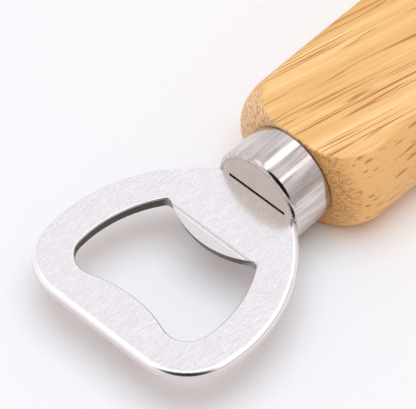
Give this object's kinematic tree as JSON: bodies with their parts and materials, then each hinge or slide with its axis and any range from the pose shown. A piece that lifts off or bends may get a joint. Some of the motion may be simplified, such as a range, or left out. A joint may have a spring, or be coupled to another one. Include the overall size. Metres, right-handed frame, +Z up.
{
  "type": "bottle opener",
  "caption": "Bottle opener with a flat stamped steel head, a plated steel ferrule and a flatted, rounded wooden handle.",
  "frame": {"origin": "centre of the opener's footprint on the surface it lies on, at the height of the handle's lower flat", "axes": "+X from the head to the handle's butt, +Y across the handle, +Z up, square to the head's plate"},
  "size_m": [0.1356, 0.0418, 0.018],
  "materials": {
    "ground_steel": "fine ground faces, polished rolled edges",
    "plated_steel": "polished nickel-chrome plate, satin end face",
    "pale_hardwood": "open-pored light hardwood, sanded, thin satin lacquer",
    "cured_epoxy": "dark cured epoxy, only just visible through the slot round the tang"
  },
  "bodies": {
    "root": {"opener_head": "ground_steel", "ferrule": "plated_steel", "handle": "pale_hardwood", "tang_adhesive": "cured_epoxy"}
  },
  "joints": []
}
